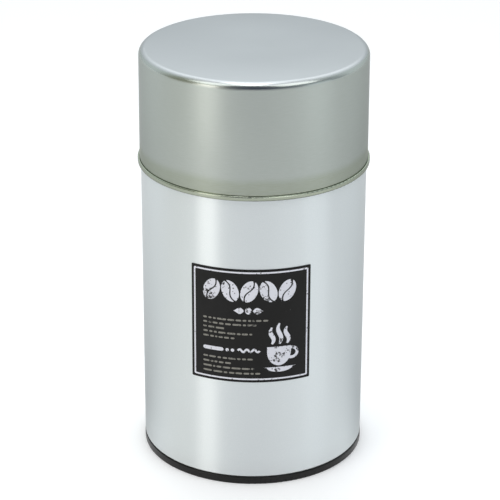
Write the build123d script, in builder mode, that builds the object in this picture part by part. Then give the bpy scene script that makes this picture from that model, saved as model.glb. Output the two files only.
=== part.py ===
"""A round tinplate coffee tin.

It has a seamed body, a deep slip-on outer lid, a recessed inner lid with a riveted knob, and a wrapped label.
Millimetres, +Z up. The origin is at the centre of the base, on the plane the tin stands on.
The label faces -Y and the body's side seam runs up the back, at +Y.
Sheet parts are drawn as a path in the (radius, height) plane, thickened to one sheet and revolved.
"""

import os
from math import degrees

from build123d import *

# Driving dimensions
BODY_R = 40.0  # outside of the body wall
HEIGHT = 151.8  # base to the middle of the lid's crown
SHEET = 0.25  # tinplate thickness
HALF_SHEET = SHEET / 2
GAP = 0.05  # clearance between neighbouring sheets

# Double seam that joins the body to the bottom end: five layers of sheet, counted inwards from the outside
SEAM_R = BODY_R + 0.08  # all but flush with the body wall
SEAM_H = 2.8
SEAM_PITCH = SHEET + GAP
SEAM_FOLD_R = 0.42  # convex skin of a tight fold
CHIME_R = 0.32  # corner radius where the seam meets the shelf
BODY_FOLD_Z = 0.5  # lowest point of the body's own fold, above the compound
HOOK_END_Z = 2.15  # free edge of the body hook
COVER_HOOK_END_Z = 0.95  # free edge of the end's hook
COMPOUND_LOW_Z = SHEET + 0.01
COMPOUND_TOP_Z = 0.48

# Bottom end panel, measured to its underside
PANEL_Z = 4.2
PANEL_DROP = 0.8  # the centre panel stands this much nearer the shelf
PANEL_CENTRE_R = 23.0
BEAD_RING_R = 32.7  # middle of the expansion bead
BEAD_RING_DEPTH = 0.6
BEAD_FLOOR_HALF_W = 1.0
BEAD_FLANK_W = 2.0  # from the bead's middle to where it leaves the panel

# Body neck, mouth and side seam
NECK_Z = 2.85
NECK_H = 0.45
NECK_BEND_R = 0.35
CURL_R = 1.0  # outside radius of the mouth's inward curl
CURL_SWEEP = 270.0
LOCK_SEAM_W = 3.6
LOCK_SEAM_T = 3 * SHEET
LOCK_SEAM_LOW_Z = 6.0
LOCK_SEAM_TOP_Z = HEIGHT - 6.0
SEAM_LINE_W = 0.25
SEAM_LINE_DEPTH = 0.12

# Outer lid
LID_H = 42.2  # crown to the lower edge of the bead
LID_WALL_TOP_R = BODY_R + GAP  # inside radius under the shoulder
LID_WALL_LOW_R = BODY_R + 0.2  # inside radius at the bead
LID_CROWN_R = 386.0  # very shallow dome towards the rim
LID_CROWN_VERTEX_R = 27.8
LID_CROWN_DROP = 0.62  # fall of the crown, carried on to the wall
LID_SHOULDER_R = 2.25  # inside of the drawn shoulder
BEAD_R = BODY_R + 1.15
BEAD_H = 1.75
BEAD_CORNER_R = 0.45
BEAD_EDGE_GAP = 0.07  # free edge of the bead to the wall

# Inner lid
RIM_LEFT_DEG = 60.0  # where the rim that hooks over the mouth ends
PAN_DEPTH = 9.2  # top of the rim down to the pan
PAN_CORNER_R = 1.4
PAN_STEP_R = 28.0
PAN_STEP_H = 0.8
BOSS_R = 6.5
BOSS_H = 0.6
BEND_R = 0.8  # ordinary pressed bend

# Knob, rivet and washer
RIVET_R = 1.3
RIVET_HOLE_R = RIVET_R + GAP
KNOB_H = 8.6
KNOB_FOOT_R = 4.4
KNOB_WAIST_R = 3.1
KNOB_HEAD_R = 7.5
KNOB_DIMPLE_R = 2.9
KNOB_DIMPLE_DEPTH = 0.9
KNOB_FOOT_H = 0.7
KNOB_WAIST_H = 3.1  # heights above the boss
KNOB_HEAD_LOW_H = 5.4
KNOB_HEAD_WIDE_H = 6.7
KNOB_HEAD_TOP_H = 8.1
KNOB_UNDERCUT = 0.9  # how far the head's lower and upper edges stand inside its widest radius
KNOB_SHOULDER = 1.3
WASHER_R = 4.2
WASHER_T = 0.5
WASHER_CHAMFER = 0.15
RIVET_HEAD_R = 2.4
RIVET_HEAD_H = 0.7

# Label: a square sheet wrapped round the front
LABEL_SIDE = 43.2
LABEL_T = 0.10
LABEL_GLUE = 0.02
LABEL_Z = 62.4  # middle of the label
LABEL_CORNER_R = 0.4
SHORT_EDGE = 2 * LABEL_T  # longer than the label's thickness, shorter than its other edges

# Levels and radii worked out from the above
MOUTH_Z = HEIGHT - 3.15  # centre of the mouth's curl
MOUTH_CURL_CENTRE_R = BODY_R - CURL_R
PLUG_R = MOUTH_CURL_CENTRE_R - CURL_R - GAP  # outside of the inner lid's skirt
RIM_INNER_R = CURL_R + GAP
PAN_Z = MOUTH_Z + RIM_INNER_R + SHEET - PAN_DEPTH  # upper face of the pan
PAN_UNDER_Z = PAN_Z - SHEET
BOSS_TOP_Z = PAN_Z + BOSS_H
WALL_IN_R = BODY_R - SHEET
LID_LOW_Z = HEIGHT - LID_H
CROWN_IN_Z = HEIGHT - SHEET


def seam_layer(count):
    """Outside radius of a seam layer, with 0 the outermost sheet."""
    return SEAM_R - count * SEAM_PITCH


def mid_layer(count):
    """Radius of the middle of a seam layer's sheet."""
    return seam_layer(count) - HALF_SHEET


def pressed_bead(middle_r, z, depth):
    """Path points of a bead in the end panel that dips from z by depth, 2 mm wide at its floor."""
    return [
        (middle_r - BEAD_FLANK_W, z),
        (middle_r - BEAD_FLOOR_HALF_W, z - depth),
        (middle_r + BEAD_FLOOR_HALF_W, z - depth),
        (middle_r + BEAD_FLANK_W, z),
    ]


# Bottom end: the path is its underside, down the chuck wall, round the chime and into the cover hook.
with BuildPart() as bottom_end:
    with BuildSketch(Plane.XZ):
        with BuildLine():
            FilletPolyline(
                (0, PANEL_Z - PANEL_DROP),
                (PANEL_CENTRE_R, PANEL_Z - PANEL_DROP),
                (PANEL_CENTRE_R + 2 * PANEL_DROP, PANEL_Z),
                *pressed_bead(BEAD_RING_R, PANEL_Z, BEAD_RING_DEPTH),
                (seam_layer(4) - SHEET, PANEL_Z),
                (seam_layer(4) - SHEET, 0),
                (SEAM_R, 0),
                (SEAM_R, SEAM_H),
                (seam_layer(2) - SHEET, SEAM_H),
                (seam_layer(2) - SHEET, COVER_HOOK_END_Z),
                radius=[BEND_R] * 7 + [CHIME_R] * 2 + [SEAM_FOLD_R] * 2,
            )
            offset(amount=SHEET, side=Side.LEFT)
        make_face()
    revolve(axis=Axis.Z)

# Sealing compound: the rubbery ring squeezed under the body's fold.
with BuildPart() as seam_compound:
    with BuildSketch(Plane.XZ) as compound_section:
        compound_in_r = seam_layer(3) - SHEET + 2 * GAP
        compound_out_r = seam_layer(1) - 2 * GAP
        with Locations((compound_in_r, COMPOUND_LOW_Z)):
            Rectangle(
                compound_out_r - compound_in_r,
                COMPOUND_TOP_Z - COMPOUND_LOW_Z,
                align=(Align.MIN, Align.MIN),
            )
        fillet(compound_section.vertices(), radius=GAP)
    revolve(axis=Axis.Z)

# Body shell: the path is the middle of the sheet, from the body hook's free edge to the mouth's curl.
with BuildPart() as body_shell:
    with BuildSketch(Plane.XZ):
        with BuildLine():
            FilletPolyline(
                (mid_layer(1), HOOK_END_Z),
                (mid_layer(1), BODY_FOLD_Z + HALF_SHEET),
                (mid_layer(3), BODY_FOLD_Z + HALF_SHEET),
                (mid_layer(3), NECK_Z),
                (BODY_R - HALF_SHEET, NECK_Z + NECK_H),
                (BODY_R - HALF_SHEET, MOUTH_Z),
                radius=[SEAM_FOLD_R - HALF_SHEET, SEAM_FOLD_R - HALF_SHEET, NECK_BEND_R, NECK_BEND_R],
            )
            CenterArc((MOUTH_CURL_CENTRE_R, MOUTH_Z), CURL_R - HALF_SHEET, 0, CURL_SWEEP)
            offset(amount=HALF_SHEET)
        make_face()
    revolve(axis=Axis.Z)
    # Folded lock seam, proud on the inside at the back.
    with BuildSketch(Plane.XY.offset(LOCK_SEAM_LOW_Z)):
        Circle(WALL_IN_R + SHEET / 2)
        Circle(WALL_IN_R - LOCK_SEAM_T, mode=Mode.SUBTRACT)
        with Locations((0, BODY_R)):
            Rectangle(LOCK_SEAM_W, BODY_R, mode=Mode.INTERSECT)
    extrude(amount=LOCK_SEAM_TOP_Z - LOCK_SEAM_LOW_Z)
    # The fold's line on the outside.
    with BuildSketch(Plane.XY.offset(LOCK_SEAM_LOW_Z)):
        with Locations((LOCK_SEAM_W / 2, BODY_R)):
            Rectangle(SEAM_LINE_W, 2 * SEAM_LINE_DEPTH)
    extrude(amount=LOCK_SEAM_TOP_Z - LOCK_SEAM_LOW_Z, mode=Mode.SUBTRACT)

# Outer lid: the path is its inner skin, over the crown, down the wall and round the bead.
with BuildPart() as outer_lid:
    with BuildSketch(Plane.XZ):
        with BuildLine():
            FilletPolyline(
                (0, CROWN_IN_Z),
                (LID_CROWN_VERTEX_R, CROWN_IN_Z),
                (LID_WALL_TOP_R, CROWN_IN_Z - LID_CROWN_DROP),
                (LID_WALL_LOW_R, LID_LOW_Z),
                (BEAD_R, LID_LOW_Z),
                (BEAD_R, LID_LOW_Z + BEAD_H),
                (LID_WALL_LOW_R + SHEET + BEAD_EDGE_GAP, LID_LOW_Z + BEAD_H),
                radius=[LID_CROWN_R, LID_SHOULDER_R, BEAD_CORNER_R, BEAD_CORNER_R, BEAD_CORNER_R],
            )
            offset(amount=SHEET, side=Side.LEFT)
        make_face()
    revolve(axis=Axis.Z)

# Inner lid: the path is its underside, from the rivet hole along the pan, up the skirt and over the mouth.
with BuildPart() as inner_lid:
    with BuildSketch(Plane.XZ):
        with BuildLine():
            FilletPolyline(
                (RIVET_HOLE_R, PAN_UNDER_Z + BOSS_H),
                (BOSS_R, PAN_UNDER_Z + BOSS_H),
                (BOSS_R + BOSS_H, PAN_UNDER_Z),
                (PAN_STEP_R, PAN_UNDER_Z),
                (PAN_STEP_R + PAN_STEP_H, PAN_UNDER_Z + PAN_STEP_H),
                (PLUG_R, PAN_UNDER_Z + PAN_STEP_H),
                (PLUG_R, MOUTH_Z),
                radius=[BEND_R / 2, BEND_R / 2, BEND_R, BEND_R, PAN_CORNER_R],
            )
            CenterArc((MOUTH_CURL_CENTRE_R, MOUTH_Z), RIM_INNER_R, 180, RIM_LEFT_DEG - 180)
            offset(amount=SHEET, side=Side.LEFT)
        make_face()
    revolve(axis=Axis.Z)

# Knob: turned, with a waist for the fingers and a dimple that takes the rivet's head.
with BuildPart() as lid_knob:
    with BuildSketch(Plane.XZ):
        with BuildLine():
            foot = Line((RIVET_HOLE_R, BOSS_TOP_Z), (KNOB_FOOT_R, BOSS_TOP_Z))
            land = Line(foot @ 1, (KNOB_FOOT_R, BOSS_TOP_Z + KNOB_FOOT_H))
            waist = ThreePointArc(
                land @ 1,
                (KNOB_WAIST_R, BOSS_TOP_Z + KNOB_WAIST_H),
                (KNOB_HEAD_R - KNOB_UNDERCUT, BOSS_TOP_Z + KNOB_HEAD_LOW_H),
            )
            edge = ThreePointArc(
                waist @ 1,
                (KNOB_HEAD_R, BOSS_TOP_Z + KNOB_HEAD_WIDE_H),
                (KNOB_HEAD_R - KNOB_SHOULDER, BOSS_TOP_Z + KNOB_HEAD_TOP_H),
            )
            crown = TangentArc((KNOB_DIMPLE_R, BOSS_TOP_Z + KNOB_H), edge @ 1, tangent=(1, 0))
            dimple = Polyline(
                crown @ 0,
                (KNOB_DIMPLE_R, BOSS_TOP_Z + KNOB_H - KNOB_DIMPLE_DEPTH),
                (RIVET_HOLE_R, BOSS_TOP_Z + KNOB_H - KNOB_DIMPLE_DEPTH),
                foot @ 0,
            )
        make_face()
    revolve(axis=Axis.Z)

# Washer under the pan, so that the rivet's tail doesn't tear the sheet.
with BuildPart() as knob_washer:
    with BuildSketch(Plane.XY.offset(BOSS_TOP_Z - SHEET - WASHER_T)):
        Circle(WASHER_R)
        Circle(RIVET_HOLE_R, mode=Mode.SUBTRACT)
    extrude(amount=WASHER_T)
    chamfer(knob_washer.faces().sort_by(Axis.Z)[0].outer_wire().edges(), length=WASHER_CHAMFER)

# Rivet: domed head in the knob's dimple, shank, and a tail set over the washer.
with BuildPart() as knob_rivet:
    head_z = BOSS_TOP_Z + KNOB_H - KNOB_DIMPLE_DEPTH
    tail_z = BOSS_TOP_Z - SHEET - WASHER_T
    with BuildSketch(Plane.XZ):
        with BuildLine():
            Line((0, tail_z - RIVET_HEAD_H), (0, head_z + RIVET_HEAD_H))
            TangentArc((0, head_z + RIVET_HEAD_H), (RIVET_HEAD_R, head_z), tangent=(1, 0))
            Polyline(
                (RIVET_HEAD_R, head_z),
                (RIVET_R, head_z),
                (RIVET_R, tail_z),
                (RIVET_HEAD_R, tail_z),
            )
            TangentArc((0, tail_z - RIVET_HEAD_H), (RIVET_HEAD_R, tail_z), tangent=(1, 0))
        make_face()
    revolve(axis=Axis.Z)

# Label: a thin square sheet bent round the front of the body.
with BuildPart() as label:
    label_in_r = BODY_R + LABEL_GLUE
    half_angle = degrees(LABEL_SIDE / 2 / (label_in_r + LABEL_T))
    with BuildSketch(Plane.XY.offset(LABEL_Z - LABEL_SIDE / 2)):
        with BuildLine():
            inner = CenterArc((0, 0), label_in_r, 270 - half_angle, 2 * half_angle)
            outer = CenterArc((0, 0), label_in_r + LABEL_T, 270 - half_angle, 2 * half_angle)
            Line(inner @ 0, outer @ 0)
            Line(inner @ 1, outer @ 1)
        make_face()
    extrude(amount=LABEL_SIDE)
    fillet(label.edges().filter_by(lambda edge: edge.length < SHORT_EDGE), radius=LABEL_CORNER_R)

os.makedirs("parts", exist_ok=True)
for name, built in {
    "body_shell": body_shell,
    "bottom_end": bottom_end,
    "seam_compound": seam_compound,
    "outer_lid": outer_lid,
    "inner_lid": inner_lid,
    "lid_knob": lid_knob,
    "knob_washer": knob_washer,
    "knob_rivet": knob_rivet,
    "label": label,
}.items():
    built.part.label = name
    export_step(built.part, f"parts/{name}.step")
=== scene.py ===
"""Looks for the coffee tin: metal finishes, the label's printed artwork, and a plain studio.

Everything is in metres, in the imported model's frame: +Z up, the tin standing on z = 0, its label facing -Y.
"""
import math
import random

import bmesh
import bpy
from mathutils import Matrix, Vector


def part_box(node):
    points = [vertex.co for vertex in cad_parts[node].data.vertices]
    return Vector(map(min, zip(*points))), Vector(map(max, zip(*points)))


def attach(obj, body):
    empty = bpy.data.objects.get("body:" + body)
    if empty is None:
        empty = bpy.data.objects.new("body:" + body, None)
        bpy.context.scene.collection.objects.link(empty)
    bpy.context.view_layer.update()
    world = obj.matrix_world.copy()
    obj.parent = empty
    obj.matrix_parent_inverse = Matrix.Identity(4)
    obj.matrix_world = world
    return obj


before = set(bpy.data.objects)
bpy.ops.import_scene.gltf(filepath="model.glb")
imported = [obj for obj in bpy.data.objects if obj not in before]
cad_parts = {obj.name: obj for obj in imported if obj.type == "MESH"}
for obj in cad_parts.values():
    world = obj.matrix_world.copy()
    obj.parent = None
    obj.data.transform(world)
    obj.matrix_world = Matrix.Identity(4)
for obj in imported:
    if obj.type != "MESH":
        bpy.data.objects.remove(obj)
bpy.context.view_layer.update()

MM = 0.001

# Places read from the frame
BODY_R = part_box("body_shell")[1].x
LID_LOW, LID_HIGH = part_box("outer_lid")
LABEL_LOW, LABEL_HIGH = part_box("label")
LABEL_R = -LABEL_LOW.y
LABEL_SIDE = LABEL_HIGH.z - LABEL_LOW.z
LABEL_MID_Z = (LABEL_HIGH.z + LABEL_LOW.z) / 2

# Places that no node's box gives
SEAM_TOP_Z = 2.8 * MM
BEAD_TOP_Z = LID_LOW.z + 1.75 * MM
SIDE_SEAM_X = 1.8 * MM  # the lock seam's line runs up the back here

FINE_GRAIN = 0.02 * MM  # depth of ordinary surface grain

# Sockets of a Mix node used for colours; its other kinds share the same socket names
MIX_AMOUNT = 0
MIX_LOW = 6
MIX_HIGH = 7
MIX_RESULT = 2


# ---------------------------------------------------------------- node trees


class Nodes:
    """A node tree, with short calls to add and join nodes."""

    def __init__(self, tree, coordinate):
        self.tree = tree
        self.tree.nodes.clear()
        self.point = self.add("ShaderNodeTexCoord").outputs[coordinate]

    def add(self, kind, inputs=None, **settings):
        """Adds a node; a value in inputs is either a constant or another node's output."""
        node = self.tree.nodes.new(kind)
        for key, value in settings.items():
            setattr(node, key, value)
        for key, value in (inputs or {}).items():
            if isinstance(value, bpy.types.NodeSocket):
                self.tree.links.new(value, node.inputs[key])
            else:
                node.inputs[key].default_value = value
        return node

    def math(self, operation, a, b=0.0):
        return self.add("ShaderNodeMath", {0: a, 1: b}, operation=operation).outputs[0]

    def mix(self, amount, low, high):
        """Colour mix: low at amount 0, high at amount 1."""
        inputs = {MIX_AMOUNT: amount, MIX_LOW: low, MIX_HIGH: high}
        return self.add("ShaderNodeMix", inputs, data_type="RGBA").outputs[MIX_RESULT]

    def ramp(self, value, low, high, from_out=0.0, to_out=1.0):
        """Smooth step of value from low to high."""
        inputs = {"Value": value, "From Min": low, "From Max": high, "To Min": from_out, "To Max": to_out}
        return self.add("ShaderNodeMapRange", inputs, interpolation_type="SMOOTHSTEP").outputs[0]

    def noise(self, scale, detail=2.0, roughness=0.5, vector=None):
        inputs = {"Vector": vector or self.point, "Scale": scale, "Detail": detail, "Roughness": roughness}
        return self.add("ShaderNodeTexNoise", inputs).outputs["Fac"]

    def stretched(self, x, y, z):
        """The object point with each axis scaled, for grain that runs one way."""
        inputs = {"Vector": self.point, "Scale": (x, y, z)}
        return self.add("ShaderNodeMapping", inputs).outputs[0]

    def axes(self):
        """The point's x, y and z."""
        return self.add("ShaderNodeSeparateXYZ", {0: self.point}).outputs

    def normal_z(self):
        """How far the surface faces up: 1 is straight up, -1 straight down."""
        normal = self.add("ShaderNodeNewGeometry").outputs["Normal"]
        return self.add("ShaderNodeSeparateXYZ", {0: normal}).outputs[2]

    def radius(self):
        """Distance from the tin's axis."""
        x, y, _ = self.axes()
        squares = self.math("ADD", self.math("MULTIPLY", x, x), self.math("MULTIPLY", y, y))
        return self.math("SQRT", squares)

    def around(self, turns, z_scale):
        """A grain point whose grain runs round the tin: (angle, radius, height)."""
        x, y, z = self.axes()
        angle = self.math("MULTIPLY", self.math("ARCTAN2", x, y), turns)
        inputs = {0: angle, 1: self.radius(), 2: self.math("MULTIPLY", z, z_scale)}
        return self.add("ShaderNodeCombineXYZ", inputs).outputs[0]

    def ringed(self, scale):
        """A grain point for rings round the tin's axis: (radius, 0, height)."""
        height = self.math("MULTIPLY", self.axes()[2], scale)
        inputs = {0: self.math("MULTIPLY", self.radius(), scale), 2: height}
        return self.add("ShaderNodeCombineXYZ", inputs).outputs[0]

    def bump(self, height, strength, distance=FINE_GRAIN):
        inputs = {"Height": height, "Strength": strength, "Distance": distance}
        return self.add("ShaderNodeBump", inputs).outputs[0]


class Recipe(Nodes):
    """A material and its node tree."""

    def __init__(self, name):
        self.material = bpy.data.materials.new(name)
        self.material.use_nodes = True
        super().__init__(self.material.node_tree, "Object")

    def upright_streaks(self):
        """Shader inputs that stretch the highlights up and down the tin."""
        tangent = self.add("ShaderNodeTangent", direction_type="RADIAL", axis="Z").outputs[0]
        return {"Anisotropic Rotation": 0.25, "Tangent": tangent}

    def finish(self, inputs):
        """Adds the surface shader with these inputs and returns the material."""
        surface = self.add("ShaderNodeBsdfPrincipled", inputs)
        self.add("ShaderNodeOutputMaterial", {"Surface": surface.outputs[0]})
        return self.material


def shade(value, tint=(1.0, 1.0, 1.0)):
    """A grey level, tinted, as a colour with alpha."""
    return tuple(value * part for part in tint) + (1.0,)


# ---------------------------------------------------------------- materials

# Tints of the metals
COOL = (0.955, 1.0, 1.01)
SAGE = (0.985, 1.07, 1.0)
OLIVE = (0.98, 1.08, 0.85)


def satin_lid():
    """Stone-finish tinplate: fine grain, a sage cast, darker and more olive just above the bead. Painted
    shade darkens the wall towards the bead and the bead's underside; painted light lightens the crown and the
    bead's upper edge.
    """
    r = Recipe("lid_satin_tinplate")
    _, _, z = r.axes()
    normal_z = r.normal_z()
    above_bead = r.ramp(z, BEAD_TOP_Z + 0.15 * MM, BEAD_TOP_Z + 0.45 * MM)
    on_bead = r.math("SUBTRACT", 1.0, above_bead)
    bead_top_painted_light = r.math("MULTIPLY", on_bead, r.ramp(normal_z, 0.6, 0.9))
    bead_under_painted_shade = r.math("MULTIPLY", on_bead, r.ramp(normal_z, -0.1, -0.6))
    on_crown = r.math("MULTIPLY", above_bead, r.ramp(normal_z, 0.6, 0.9))
    drawn = r.math("MULTIPLY", above_bead, r.ramp(normal_z, 0.05, 0.35))
    on_wall = r.math("SUBTRACT", 1.0, drawn)
    wall_grain = r.noise(1.0, 4.0, 0.65, r.around(9.0, 5200.0))
    crown_grain = r.noise(1.0, 4.0, 0.65, r.stretched(140.0, 5200.0, 140.0))
    grain = r.mix(on_crown, wall_grain, crown_grain)
    cloud = r.noise(26.0, 3.0, 0.55)
    wavy_z = r.math("ADD", z, r.math("MULTIPLY", cloud, 3 * MM))
    low_band = r.ramp(wavy_z, BEAD_TOP_Z + 8.5 * MM, BEAD_TOP_Z + 5.0 * MM)
    # painted shade: the wall's colour darkens towards the bead, standing in for light falling off lower down
    painted_shade_downward = r.ramp(z, LID_HIGH.z - 4 * MM, BEAD_TOP_Z)

    base = r.mix(cloud, shade(0.42, SAGE), shade(0.46, SAGE))
    # painted shade on the lower wall
    base = r.mix(r.math("MULTIPLY", painted_shade_downward, 0.6), base, shade(0.37, SAGE))
    base = r.mix(r.math("MULTIPLY", low_band, 0.7), base, shade(0.31, OLIVE))
    base = r.mix(on_bead, base, shade(0.33, OLIVE))
    # painted light: the bead's up-facing top is given a lighter colour
    base = r.mix(r.math("MULTIPLY", bead_top_painted_light, 0.3), base, shade(0.66, OLIVE))
    # painted shadow: the bead's down-facing underside is darkened
    base = r.mix(r.math("MULTIPLY", bead_under_painted_shade, 0.7), base, shade(0.10, OLIVE))
    # painted light: the crown is given a lighter, cooler colour than the wall of the same sheet
    base = r.mix(on_crown, base, shade(0.52, (0.955, 1.0, 1.02)))
    base = r.mix(r.ramp(grain, 0.35, 0.75, 0.0, 0.18), base, shade(0.60, COOL))

    roughness = r.math("SUBTRACT", r.ramp(cloud, 0.25, 0.8, 0.38, 0.43), r.math("MULTIPLY", drawn, 0.16))
    roughness = r.math("ADD", roughness, r.math("MULTIPLY", on_crown, 0.08))
    roughness = r.math("SUBTRACT", roughness, r.math("MULTIPLY", on_bead, 0.20))
    wall_top = r.math("MULTIPLY", on_wall, r.ramp(z, LID_LOW.z, LID_HIGH.z - 8 * MM))
    return r.finish({
        "Base Color": base,
        "Metallic": 1.0,
        "Roughness": roughness,
        "Specular Tint": shade(0.62),
        "Anisotropic": r.math("MULTIPLY", wall_top, 0.6),
        **r.upright_streaks(),
        "Normal": r.bump(grain, 0.12),
    })


def silver_body():
    """Silver enamel outside, bare tinplate inside. Painted shade darkens the enamel near the foot."""
    r = Recipe("body_silver_enamel")
    x, y, z = r.axes()
    outside = r.ramp(r.radius(), BODY_R - 0.16 * MM, BODY_R - 0.10 * MM)
    grain = r.noise(1.0, 4.0, 0.6, r.around(12.0, 4200.0))
    cloud = r.noise(18.0, 3.0, 0.5)
    flake = r.noise(2600.0, 2.0, 0.7)
    enamel = r.mix(cloud, shade(0.73, (0.935, 1.0, 1.015)), shade(0.77, (0.94, 1.0, 1.01)))
    enamel = r.mix(r.ramp(flake, 0.4, 0.8, 0.0, 0.25), enamel, shade(0.88, (0.98, 1.0, 1.0)))
    # painted shade: the enamel darkens towards the seam at the foot
    foot = r.ramp(z, SEAM_TOP_Z + 9 * MM, SEAM_TOP_Z)
    enamel = r.mix(r.math("MULTIPLY", foot, 0.35), enamel, shade(0.66, COOL))
    off_line = r.math("ABSOLUTE", r.math("SUBTRACT", x, SIDE_SEAM_X))
    seam_line = r.math("MULTIPLY", r.ramp(off_line, 0.3 * MM, 0.1 * MM), r.ramp(y, 0.0, 1 * MM))
    enamel = r.mix(r.math("MULTIPLY", seam_line, 0.8), enamel, shade(0.16))
    bare = r.mix(cloud, shade(0.66, (1.0, 1.0, 0.98)), shade(0.76, (1.0, 1.0, 0.99)))
    base = r.mix(outside, bare, enamel)
    return r.finish({
        "Base Color": base,
        "Metallic": r.math("SUBTRACT", 1.0, r.math("MULTIPLY", outside, 0.35)),
        "Roughness": r.ramp(cloud, 0.25, 0.8, 0.33, 0.37),
        "Specular Tint": shade(0.6),
        "Anisotropic": 0.9,
        **r.upright_streaks(),
        "Normal": r.bump(grain, 0.08),
        "Coat Weight": r.math("MULTIPLY", outside, 0.1),
        "Coat Roughness": 0.12,
    })


def black_lacquer():
    """Satin black lacquer outside, bare tinplate on the face the coffee sees."""
    r = Recipe("base_black_lacquer")
    _, _, z = r.axes()
    normal_z = r.normal_z()
    within = r.ramp(r.radius(), BODY_R - 0.9 * MM, BODY_R - 1.2 * MM)
    inside = r.math("MULTIPLY", r.ramp(normal_z, 0.0, 0.3), within)
    mottle = r.noise(900.0, 3.0, 0.6)
    scuff = r.noise(1.0, 4.0, 0.7, r.around(16.0, 2600.0))
    rub = r.math("MULTIPLY", r.ramp(z, 0.5 * MM, 0.0), r.ramp(scuff, 0.48, 0.62))
    black = r.mix(mottle, shade(0.009), shade(0.014, (1.0, 1.0, 0.96)))
    black = r.mix(r.math("MULTIPLY", rub, 0.5), black, shade(0.24))
    base = r.mix(inside, black, shade(0.6))
    return r.finish({
        "Base Color": base,
        "Metallic": inside,
        "Roughness": r.ramp(mottle, 0.3, 0.7, 0.26, 0.38),
        "Specular IOR Level": 0.2,
        "Normal": r.bump(mottle, 0.15),
    })


def bright_tinplate():
    """The inner lid: bright tinplate with a straight rolled grain and faint rings from the press."""
    r = Recipe("inner_lid_tinplate")
    rings = r.noise(1.0, 3.0, 0.6, r.ringed(2400.0))
    straight = r.noise(1.0, 3.0, 0.6, r.stretched(60.0, 2600.0, 60.0))
    cloud = r.noise(30.0, 3.0, 0.55)
    base = r.mix(cloud, shade(0.60, (1.0, 1.0, 0.98)), shade(0.68, (1.0, 1.0, 0.99)))
    base = r.mix(r.ramp(straight, 0.4, 0.7, 0.0, 0.15), base, shade(0.75))
    return r.finish({
        "Base Color": base,
        "Metallic": 1.0,
        "Roughness": r.ramp(rings, 0.3, 0.7, 0.24, 0.32),
        "Normal": r.bump(straight, 0.05),
    })


def turned_aluminium(name, level):
    """Fine turning rings on a part that came off a lathe."""
    r = Recipe(name)
    rings = r.noise(1.0, 2.0, 0.6, r.ringed(9000.0))
    cloud = r.noise(300.0, 2.0, 0.5)
    base = r.mix(cloud, shade(level), shade(level + 0.1, COOL))
    return r.finish({
        "Base Color": r.mix(r.ramp(rings, 0.4, 0.7, 0.0, 0.25), base, shade(level - 0.18)),
        "Metallic": 1.0,
        "Roughness": r.ramp(rings, 0.3, 0.7, 0.22, 0.34),
        "Normal": r.bump(rings, 0.3),
    })


def sealing_compound():
    """Tan rubbery compound, matt and mottled."""
    r = Recipe("seam_compound_rubber")
    mottle = r.noise(1500.0, 3.0, 0.6)
    return r.finish({
        "Base Color": r.mix(mottle, shade(0.25, (1.0, 0.85, 0.62)), shade(0.38, (1.0, 0.88, 0.68))),
        "Roughness": r.ramp(mottle, 0.3, 0.7, 0.65, 0.8),
        "Normal": r.bump(mottle, 0.4, 0.03 * MM),
    })


def label_film():
    """Black printed film with a faint mottle and dust-fine specks of wear."""
    r = Recipe("label_black_film")
    mottle = r.noise(700.0, 4.0, 0.65)
    blot = r.noise(90.0, 3.0, 0.6)
    black = r.mix(blot, shade(0.009, (1.05, 1.0, 0.92)), shade(0.014, (1.0, 1.0, 1.02)))
    specks = r.math("MULTIPLY", r.ramp(mottle, 0.70, 0.76), 0.25)
    return r.finish({
        "Base Color": r.mix(specks, black, shade(0.25)),
        "Roughness": r.ramp(mottle, 0.3, 0.7, 0.34, 0.5),
        "Specular IOR Level": 0.16,
        "Normal": r.bump(mottle, 0.12),
    })


def label_ink(name, level, wear, tint=(0.97, 0.98, 1.06)):
    """Pale ink on black film. wear is the share of specks where the black shows through."""
    r = Recipe(name)
    fine = r.noise(950.0, 3.0, 0.75)
    patches = r.noise(260.0, 3.0, 0.7)
    cells = {"Vector": r.point, "Scale": 900.0, "Randomness": 1.0}
    dots = r.add("ShaderNodeTexVoronoi", cells).outputs["Distance"]
    worn_patch = r.ramp(patches, 0.62 - wear, 0.66 - wear)
    pits = r.math("MULTIPLY", r.ramp(dots, 0.30, 0.18), r.ramp(fine, 0.48, 0.55))
    gone = r.math("MAXIMUM", r.math("MULTIPLY", worn_patch, r.ramp(fine, 0.46, 0.52)), pits)
    pale = r.mix(patches, shade(level, tint), shade(level * 0.9, tint))
    return r.finish({
        "Base Color": r.mix(gone, pale, shade(0.02)),
        "Roughness": r.ramp(fine, 0.3, 0.7, 0.45, 0.6),
        "Normal": r.bump(fine, 0.2),
    })


NODE_MATERIALS = {
    "outer_lid": satin_lid(),
    "body_shell": silver_body(),
    "bottom_end": black_lacquer(),
    "inner_lid": bright_tinplate(),
    "lid_knob": turned_aluminium("knob_turned_aluminium", 0.66),
    "knob_rivet": turned_aluminium("rivet_aluminium", 0.60),
    "knob_washer": turned_aluminium("washer_aluminium", 0.58),
    "seam_compound": sealing_compound(),
    "label": label_film(),
}
for node_name, material in NODE_MATERIALS.items():
    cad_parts[node_name].material_slots[0].material = material


# ---------------------------------------------------------------- label artwork

# Artwork is drawn flat in label millimetres, (across, up) from the label's centre, then wrapped on the film.
INK_T = 0.03  # thickness of the printed layer
INK_SINK = 0.02  # how deep it is keyed into the film
STRIP_W = 0.8  # the wrapped artwork bends at every such width


def ellipse_arc(cx, cy, rx, ry, start, end, steps):
    """Points of an elliptical arc, angles in degrees."""
    points = []
    for i in range(steps + 1):
        angle = math.radians(start + (end - start) * i / steps)
        points.append((cx + rx * math.cos(angle), cy + ry * math.sin(angle)))
    return points


def rounded_bar(x, y, width, height, steps=4):
    """A bar with round ends, its lower left corner at (x, y)."""
    r = height / 2
    right = ellipse_arc(x + width - r, y + r, r, r, -90, 90, steps)
    left = ellipse_arc(x + r, y + r, r, r, 90, 270, steps)
    return right + left


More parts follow.
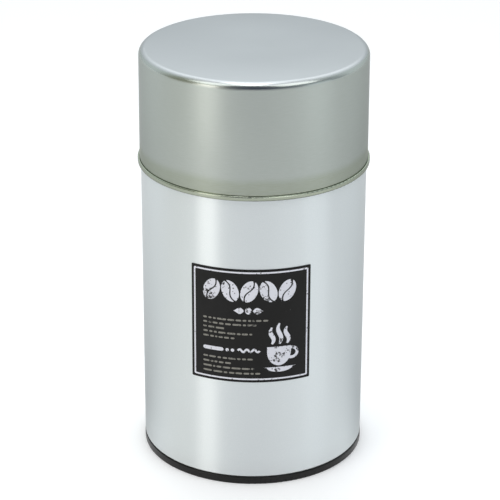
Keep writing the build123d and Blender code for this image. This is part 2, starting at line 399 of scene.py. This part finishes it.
def turned(points, cx, cy, degrees):
    """The points turned about (cx, cy)."""
    c, s = math.cos(math.radians(degrees)), math.sin(math.radians(degrees))
    return [(cx + c * (x - cx) - s * (y - cy), cy + s * (x - cx) + c * (y - cy)) for x, y in points]


def stroke(path, widths):
    """A ribbon along a path, with a width at each of its points."""
    left, right = [], []
    for i, (x, y) in enumerate(path):
        x0, y0 = path[max(i - 1, 0)]
        x1, y1 = path[min(i + 1, len(path) - 1)]
        length = math.hypot(x1 - x0, y1 - y0)
        nx, ny = -(y1 - y0) / length, (x1 - x0) / length
        half = widths[i] / 2
        left.append((x + nx * half, y + ny * half))
        right.append((x - nx * half, y - ny * half))
    return right + left[::-1]


def bean(cx, cy, half_w, half_h, tilt):
    """A coffee bean as two halves, parted by an S-shaped crease."""
    crease_sway, crease_half = 0.24 * half_w, 0.085 * half_w
    steps = 14
    halves = []
    for side in (1, -1):
        start, end = (82, -82) if side > 0 else (262, 98)
        outline = ellipse_arc(cx, cy, half_w, half_h, start, end, steps)
        first, last = outline[-1], outline[0]
        crease = []
        for i in range(1, steps):
            t = i / steps
            y = first[1] + (last[1] - first[1]) * t
            sway = crease_sway * math.sin(2 * math.pi * (y - cy) / (2 * half_h))
            crease.append((cx + sway + side * crease_half, y))
        halves.append(turned(outline + crease, cx, cy, tilt))
    return halves


def frame_band(outer, inner, corner):
    """The keyline: a square ring drawn as four mitred strips with rounded outer corners."""
    pieces = []
    for quarter in range(4):
        arc_out = ellipse_arc(outer - corner, outer - corner, corner, corner, 45, 90, 4)
        arc_in = ellipse_arc(inner - corner, inner - corner, corner * 0.6, corner * 0.6, 90, 45, 4)
        mirrored_out = [(-x, y) for x, y in arc_out][::-1]
        mirrored_in = [(-x, y) for x, y in arc_in][::-1]
        strip = arc_out + mirrored_out + mirrored_in + arc_in
        pieces.append(turned(strip, 0, 0, 90 * quarter))
    return pieces


def wrapped_print(name, outlines, material):
    """Builds the outlines as one thin printed layer, wrapped on the label's face."""
    mesh = bmesh.new()
    for outline in outlines:
        corners = [mesh.verts.new((x, y, 0.0)) for x, y in outline]
        mesh.faces.new(corners)
    reach = max(abs(v.co.x) for v in mesh.verts)
    for i in range(-int(reach / STRIP_W), int(reach / STRIP_W) + 1):
        everything = mesh.verts[:] + mesh.edges[:] + mesh.faces[:]
        cut = {"geom": everything, "plane_co": (i * STRIP_W, 0, 0), "plane_no": (1, 0, 0)}
        bmesh.ops.bisect_plane(mesh, dist=1e-5, **cut)
    bmesh.ops.recalc_face_normals(mesh, faces=mesh.faces[:])
    for face in mesh.faces:
        if face.normal.z < 0:
            face.normal_flip()
    front = mesh.faces[:]
    grown = bmesh.ops.extrude_face_region(mesh, geom=front)
    lifted = [item for item in grown["geom"] if isinstance(item, bmesh.types.BMVert)]
    for vert in lifted:
        vert.co.z = INK_T + INK_SINK
    for face in front:
        face.normal_flip()
    for vert in mesh.verts:
        across, up, lift = vert.co
        r = LABEL_R + (lift - INK_SINK) * MM
        angle = across * MM / LABEL_R
        vert.co = Vector((r * math.sin(angle), -r * math.cos(angle), LABEL_MID_Z + up * MM))
    bmesh.ops.recalc_face_normals(mesh, faces=mesh.faces[:])
    data = bpy.data.meshes.new(name)
    mesh.to_mesh(data)
    mesh.free()
    data.materials.append(material)
    piece = bpy.data.objects.new(name, data)
    bpy.context.scene.collection.objects.link(piece)
    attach(piece, "can")


def word_line(dice, x, y, width, height):
    """One greeked line: short round bars in place of words."""
    bars = []
    end = x + width
    while x < end - 0.8:
        length = min(dice.uniform(0.9, 3.4), end - x)
        bars.append(rounded_bar(x, y, length, height, 3))
        x += length + dice.uniform(0.3, 0.55)
    return bars


def leaf(tip_x, root_x, y, belly):
    """A pointed leaf lying flat, fattest near its root."""
    steps = 8
    upper = []
    for k in range(steps + 1):
        t = k / steps
        upper.append((tip_x + (root_x - tip_x) * t, y + belly * math.sin(math.pi * t ** 1.3)))
    lower = [(x, 2 * y - up) for x, up in upper[1:-1]][::-1]
    return upper + lower


HALF = LABEL_SIDE / MM / 2
EDGE = 0.95  # black border outside the keyline
KEYLINE_W = 0.38
KEYLINE_CORNER_R = 0.5
BEAN_COUNT = 5
BEAN_PITCH = 6.7
BEAN_HALF_W = 2.9
BEAN_HALF_H = 4.2
BEAN_TILT = 24
HEADING_LEFT = -13.9  # middle of the first bean
HEADING_Y = 13.3
ORNAMENT_X = -0.75
ORNAMENT_Y = 6.0
TEXT_LEFT = -17.1
TEXT_H = 0.66
MIDDLE_Y = -9.3
CUP_X = 10.6
CUP_TOP_Y = -8.0
SAUCER_Y = -15.9


def heading_beans():
    """A row of beans that lean left and right in turn."""
    beans = []
    for i in range(BEAN_COUNT):
        tilt = -BEAN_TILT if i % 2 == 0 else BEAN_TILT
        beans += bean(HEADING_LEFT + BEAN_PITCH * i, HEADING_Y, BEAN_HALF_W, BEAN_HALF_H, tilt)
    return beans


def ornament():
    """A coffee cherry between two leaves."""
    shapes = [ellipse_arc(ORNAMENT_X, ORNAMENT_Y, 1.15, 1.3, 0, 345, 15)]
    for side in (-1, 1):
        shapes.append(leaf(ORNAMENT_X + side * 5.2, ORNAMENT_X + side * 1.5, ORNAMENT_Y, 1.2))
    return shapes


def text_block(dice, top, pitch, widths):
    """Greeked lines of these widths, one under another."""
    lines = []
    for i, width in enumerate(widths):
        lines += word_line(dice, TEXT_LEFT, top - pitch * i, width, TEXT_H)
    return lines


def small_print():
    """Two blocks of greeked lines."""
    dice = random.Random(8)
    upper = text_block(dice, 1.95, 1.75, (23.4, 20.0, 8.6, 18.8, 11.6))
    lower = text_block(dice, -12.95, 1.85, (18.5, 11.0, 18.6, 20.6))
    return upper + lower


def middle_line():
    """A bolder line between the two blocks: a bar, two dots and a wave."""
    shapes = [rounded_bar(TEXT_LEFT, MIDDLE_Y - 0.7, 7.6, 1.4)]
    for i in range(2):
        shapes.append(ellipse_arc(-8.2 + 1.9 * i, MIDDLE_Y, 0.62, 0.62, 0, 330, 11))
    steps = 30
    wave = []
    for k in range(steps + 1):
        t = k / steps
        wave.append((-4.4 + 7.6 * t, MIDDLE_Y + 0.55 * math.sin(3 * math.tau * t)))
    shapes.append(stroke(wave, [0.75] * len(wave)))
    return shapes


def steam(x, rise):
    """One curl of steam, thin at both ends, rising from the cup."""
    steps = 16
    path = []
    widths = []
    for k in range(steps + 1):
        t = k / steps
        path.append((x + 0.6 * math.sin(math.tau * t), CUP_TOP_Y + 1.1 + rise * t))
        widths.append(0.35 + 1.25 * math.sin(math.pi * (0.1 + 0.85 * t)))
    return stroke(path, widths)


def cup_emblem():
    """A steaming cup on a saucer; the middle curl of steam is the tallest."""
    rim = [(CUP_X - 4.8, CUP_TOP_Y), (CUP_X + 3.8, CUP_TOP_Y)]
    bowl = ellipse_arc(CUP_X - 0.5, CUP_TOP_Y - 1.9, 4.3, 5.4, 0, -180, 16)
    loop = ellipse_arc(CUP_X + 4.0, CUP_TOP_Y - 2.7, 2.1, 1.9, 105, -120, 12)
    plate = [(CUP_X - 6.0, SAUCER_Y), (CUP_X + 5.6, SAUCER_Y)]
    foot = ellipse_arc(CUP_X - 0.2, SAUCER_Y - 0.2, 4.6, 1.7, 0, -180, 12)
    shapes = [rim + bowl, stroke(loop, [1.1] * len(loop)), plate + foot]
    for i, rise in enumerate((6.4, 7.9, 6.4)):
        shapes.append(steam(CUP_X - 3.1 + 2.7 * i, rise))
    return shapes


WHITE_INK = label_ink("print_white_ink", 0.80, 0.08)
KEYLINE_INK = label_ink("print_keyline_ink", 0.84, -0.1)
TEXT_INK = label_ink("print_text_ink", 0.24, 0.04, (1.0, 0.97, 0.84))

keyline = frame_band(HALF - EDGE, HALF - EDGE - KEYLINE_W, KEYLINE_CORNER_R)
wrapped_print("print_keyline", keyline, KEYLINE_INK)
wrapped_print("print_heading_beans", heading_beans(), WHITE_INK)
wrapped_print("print_ornament", ornament(), WHITE_INK)
wrapped_print("print_small_lines", small_print(), TEXT_INK)
wrapped_print("print_middle_line", middle_line(), WHITE_INK)
wrapped_print("print_cup_emblem", cup_emblem(), WHITE_INK)


# ---------------------------------------------------------------- studio

# Glow of the sweep that the tin's metal reflects: in front, close behind, and far behind on each side
GLOW_FRONT = 0.67
GLOW_NEAR = 0.09
GLOW_FAR_LEFT = 0.58
GLOW_FAR_RIGHT = 0.42

# Surroundings behind the tin, from the horizon up, and in the room on the camera's side
BACKDROP_LOW = (0.90, 0.96, 0.99, 1.0)
BACKDROP_HIGH = (1.75, 1.82, 1.86, 1.0)
CEILING = (0.95, 1.0, 1.0, 1.0)
ROOM_MIDDLE = (0.07, 0.08, 0.12, 1.0)
ROOM_LEFT = (0.34, 0.35, 0.27, 1.0)
ROOM_RIGHT = (0.34, 0.37, 0.40, 1.0)

# The camera: degrees round the tin, down from level, and small turns left and about its own axis
CAMERA_AZIMUTH = 1.27
CAMERA_DOWN = 23.47
CAMERA_YAW = -0.097
CAMERA_ROLL = 0.185
CAMERA_DISTANCE = 0.7247
CAMERA_HEIGHT = 0.3887
LENS_MM = 157.4
SENSOR_MM = 36.0


def plain_floor():
    """A pale floor.

    The camera sees it matt and near white; the tin's metal reflects a glowing sweep instead.
    """
    mesh = bmesh.new()
    bmesh.ops.create_grid(mesh, x_segments=4, y_segments=4, size=6.0)
    data = bpy.data.meshes.new("studio_floor")
    mesh.to_mesh(data)
    mesh.free()
    floor = bpy.data.objects.new("studio_floor", data)
    bpy.context.scene.collection.objects.link(floor)
    r = Recipe("studio_floor_white")
    cloud = r.noise(3.0, 2.0)
    pale = r.mix(cloud, shade(0.88), shade(0.90))
    matt = {"Base Color": pale, "Roughness": 0.9, "Specular IOR Level": 0.1}
    matt.update({"Emission Color": pale, "Emission Strength": 0.2})
    x, y, _ = r.axes()
    behind = r.ramp(r.math("DIVIDE", y, r.radius()), -0.5, 0.5)
    far = r.mix(r.ramp(x, -0.1, 0.1), shade(GLOW_FAR_LEFT), shade(GLOW_FAR_RIGHT))
    back = r.mix(r.ramp(r.radius(), 0.03, 0.36), shade(GLOW_NEAR), far)
    glow = r.mix(behind, shade(GLOW_FRONT), back)
    sweep = {"Base Color": shade(0.35), "Roughness": 0.3, "Emission Color": glow, "Emission Strength": 1.0}
    seen = r.add("ShaderNodeBsdfPrincipled", matt).outputs[0]
    mirrored = r.add("ShaderNodeBsdfPrincipled", sweep).outputs[0]
    by_camera = r.add("ShaderNodeLightPath").outputs["Is Camera Ray"]
    both = r.add("ShaderNodeMixShader", {0: by_camera, 1: mirrored, 2: seen}).outputs[0]
    r.add("ShaderNodeOutputMaterial", {"Surface": both})
    data.materials.append(r.material)


def softbox(name, place, aim, width, height, level, tint=(1.0, 1.0, 1.0)):
    """A rectangular soft light at a place, facing a point."""
    lamp = bpy.data.lights.new(name, "AREA")
    lamp.shape = "RECTANGLE"
    lamp.size = width
    lamp.size_y = height
    lamp.energy = level * width * height * math.pi
    lamp.color = tint
    light = bpy.data.objects.new(name, lamp)
    light.location = place
    light.rotation_euler = (Vector(place) - Vector(aim)).to_track_quat("Z", "Y").to_euler()
    bpy.context.scene.collection.objects.link(light)


def beside(azimuth, distance, height):
    """A place round the tin. Azimuth 0 is in front, at -Y, and 90 at +X."""
    a = math.radians(azimuth)
    return (distance * math.sin(a), -distance * math.cos(a), height)


def studio_world():
    """Pale surroundings at the back, and a dim room behind the camera."""
    world = bpy.data.worlds.new("studio_world")
    bpy.context.scene.world = world
    world.use_nodes = True
    w = Nodes(world.node_tree, "Generated")
    x, y, z = w.axes()
    off_middle = w.math("ABSOLUTE", x)
    sides = w.mix(w.ramp(x, -0.8, 0.8), ROOM_LEFT, ROOM_RIGHT)
    room = w.mix(w.ramp(off_middle, 0.15, 0.85), ROOM_MIDDLE, sides)
    upper = w.mix(w.ramp(off_middle, 0.25, 0.65), BACKDROP_HIGH, BACKDROP_LOW)
    backdrop = w.mix(w.ramp(z, 0.30, 0.62), BACKDROP_LOW, upper)
    backdrop = w.mix(w.ramp(z, 0.7, 0.95), backdrop, CEILING)
    around = w.mix(w.ramp(y, -0.15, 0.4), room, backdrop)
    background = w.add("ShaderNodeBackground", {"Color": around}).outputs[0]
    w.add("ShaderNodeOutputWorld", {"Surface": background})


def camera():
    """A long lens looking down on the tin from slightly to the right of the label."""
    down = math.radians(CAMERA_DOWN)
    yaw = math.radians(CAMERA_YAW)
    roll = math.radians(CAMERA_ROLL)
    data = bpy.data.cameras.new("camera")
    data.sensor_width = SENSOR_MM
    data.lens = LENS_MM
    data.clip_start = 0.05
    data.clip_end = 50.0
    eye = bpy.data.objects.new("camera", data)
    bpy.context.scene.collection.objects.link(eye)
    ahead = Vector((math.sin(yaw) * math.cos(down), math.cos(yaw) * math.cos(down), -math.sin(down)))
    right = ahead.cross(Vector((0, 0, 1))).normalized()
    up = right.cross(ahead)
    rolled_right = right * math.cos(roll) + up * math.sin(roll)
    rolled_up = up * math.cos(roll) - right * math.sin(roll)
    turn = Matrix((rolled_right, rolled_up, -ahead)).transposed().to_4x4()
    swing = Matrix.Rotation(math.radians(CAMERA_AZIMUTH), 4, "Z")
    eye.matrix_world = swing @ Matrix.Translation((0, -CAMERA_DISTANCE, CAMERA_HEIGHT)) @ turn
    bpy.context.scene.camera = eye


plain_floor()
studio_world()
softbox("overhead_bank", (-0.05, -0.05, 1.25), (-0.05, -0.05, 0.0), 0.36, 1.05, 3.6)
softbox("high_right_light", beside(53, 0.60, 0.95), (0, 0, 0.14), 0.60, 0.60, 2.0)
softbox("high_left_light", beside(-52, 0.62, 0.92), (0, 0, 0.14), 0.52, 0.56, 2.0)
softbox("left_light", beside(-44, 0.95, 0.33), (0, 0, 0.10), 0.34, 0.60, 2.15, (1.0, 0.945, 0.91))
softbox("right_light", beside(66, 1.1, 0.30), (0, 0, 0.10), 0.55, 0.5, 0.6, (0.90, 0.97, 1.0))
camera()
bpy.context.scene.view_settings.view_transform = "Standard"
